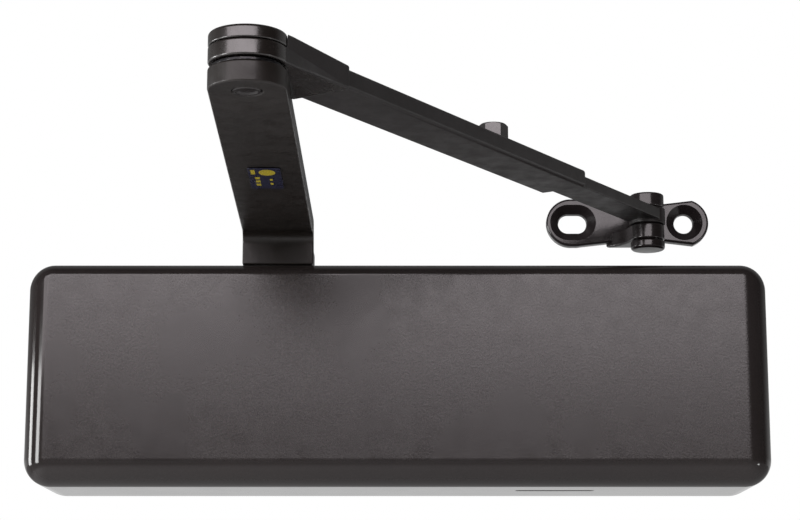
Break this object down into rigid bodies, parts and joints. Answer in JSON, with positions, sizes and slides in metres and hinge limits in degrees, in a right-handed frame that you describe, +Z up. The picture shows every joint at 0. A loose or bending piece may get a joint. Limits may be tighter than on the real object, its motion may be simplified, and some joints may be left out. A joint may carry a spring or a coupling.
{
  "type": "surface-mounted door closer",
  "caption": "Surface-mounted hydraulic door closer with a full cover, a double-lever arm with adjustable rod, and a slotted shoe.",
  "frame": {"origin": "centre of the closer body's four mounting holes, on the back of the body", "axes": "+X along the closer from its pinion end to its power adjusting end, +Y into the door, +Z up"},
  "size_m": [0.338, 0.2973, 0.144],
  "materials": {
    "bronze_plastic": "fine-grained dark bronze plastic",
    "bronze_paint": "satin dark bronze paint",
    "bronze_steel": "satin dark bronze finish over steel",
    "cast_iron": "rough cast, dark",
    "bright_steel": "machined",
    "black_oxide": "black oxide",
    "spring_steel": "oiled spring wire",
    "bronze_bush": "sintered bronze",
    "seal_rubber": "black rubber",
    "label_film": "dark film"
  },
  "bodies": {
    "closer": {"closer_body": "cast_iron", "cover": "bronze_plastic", "cover_screw_left": "black_oxide", "cover_screw_right": "black_oxide", "left_end_plug": "bright_steel", "right_end_plug": "bright_steel", "left_plug_seal": "seal_rubber", "right_plug_seal": "seal_rubber", "upper_shaft_bearing": "bright_steel", "lower_shaft_bearing": "bright_steel", "upper_bearing_nut": "bright_steel", "lower_bearing_nut": "bright_steel", "upper_shaft_seal": "seal_rubber", "lower_shaft_seal": "seal_rubber"},
    "lever": {"pinion": "bright_steel", "main_arm": "bronze_paint", "arm_screw": "black_oxide", "arm_screw_washer": "black_oxide", "arm_label": "label_film", "elbow_pin": "bronze_steel", "elbow_washer": "black_oxide", "lower_shaft_cap": "bronze_plastic"},
    "piston": {"piston": "bright_steel", "piston_ring_left": "cast_iron", "piston_ring_right": "cast_iron", "check_ball": "bright_steel", "check_ball_retainer": "bright_steel", "closing_spring": "spring_steel"},
    "spring_seat": {"spring_seat": "bright_steel"},
    "power_screw": {"power_adjusting_screw": "black_oxide"},
    "closing_valve": {"closing_valve": "bright_steel", "closing_valve_seal": "seal_rubber"},
    "latch_valve": {"latch_valve": "bright_steel", "latch_valve_seal": "seal_rubber"},
    "backcheck_valve": {"backcheck_valve": "bright_steel", "backcheck_valve_seal": "seal_rubber"},
    "forearm": {"forearm_tube": "bronze_paint", "elbow_cap": "bronze_paint", "elbow_bush": "bronze_bush"},
    "clamp_bolt": {"forearm_clamp_bolt": "bronze_steel"},
    "rod": {"adjusting_rod": "bronze_paint", "shoe_bush": "bronze_bush"},
    "shoe": {"shoe": "bronze_steel", "shoe_pin": "bronze_steel"}
  },
  "joints": [
    {"name": "pinion_turn", "type": "hinge", "parent": "closer", "child": "lever", "pos_m": [-0.0556, -0.0295, 0], "axis": [0, 0, 1], "range_deg": [-30, 120], "stiffness_Nm_per_rad": 12},
    {"name": "piston_slide", "type": "slide", "parent": "closer", "child": "piston", "axis": [1, 0, 0], "range_m": [-0.0042, 0.0168], "deforming": ["closing_spring"]},
    {"name": "spring_seat_slide", "type": "slide", "parent": "closer", "child": "spring_seat", "axis": [1, 0, 0], "range_m": [-0.0045, 0.0045], "deforming": ["closing_spring"]},
    {"name": "power_screw_turn", "type": "hinge", "parent": "closer", "child": "power_screw", "pos_m": [0.125, -0.0295, 0], "axis": [1, 0, 0], "range_deg": [-1080, 1080]},
    {"name": "closing_valve_turn", "type": "hinge", "parent": "closer", "child": "closing_valve", "pos_m": [-0.121, -0.0295, -0.03], "axis": [0, 0, 1], "range_deg": [-360, 360]},
    {"name": "latch_valve_turn", "type": "hinge", "parent": "closer", "child": "latch_valve", "pos_m": [-0.106, -0.0295, -0.03], "axis": [0, 0, 1], "range_deg": [-360, 360]},
    {"name": "backcheck_valve_turn", "type": "hinge", "parent": "closer", "child": "backcheck_valve", "pos_m": [-0.091, -0.0295, -0.03], "axis": [0, 0, 1], "range_deg": [-360, 360]},
    {"name": "elbow", "type": "hinge", "parent": "lever", "child": "forearm", "pos_m": [-0.0525, -0.28328, 0.078], "axis": [0, 0, 1], "range_deg": [-140, 18]},
    {"name": "clamp_bolt_turn", "type": "hinge", "parent": "forearm", "child": "clamp_bolt", "pos_m": [0.04024, -0.14081, 0.088], "axis": [0, 0, 1], "range_deg": [0, 360]},
    {"name": "rod_slide", "type": "slide", "parent": "forearm", "child": "rod", "axis": [0.5455, 0.8381, 0], "range_m": [-0.03, 0.05]},
    {"name": "shoe_pivot", "type": "hinge", "parent": "rod", "child": "shoe", "pos_m": [0.1192, -0.0195, 0.0809], "axis": [0, 0, 1], "range_deg": [-120, 55]}
  ],
  "couplings": [
    {"joint": "piston_slide", "follows": "pinion_turn", "m_per_rad": 0.008},
    {"joint": "power_screw_turn", "follows": "spring_seat_slide", "rad_per_m": 4188.8}
  ]
}
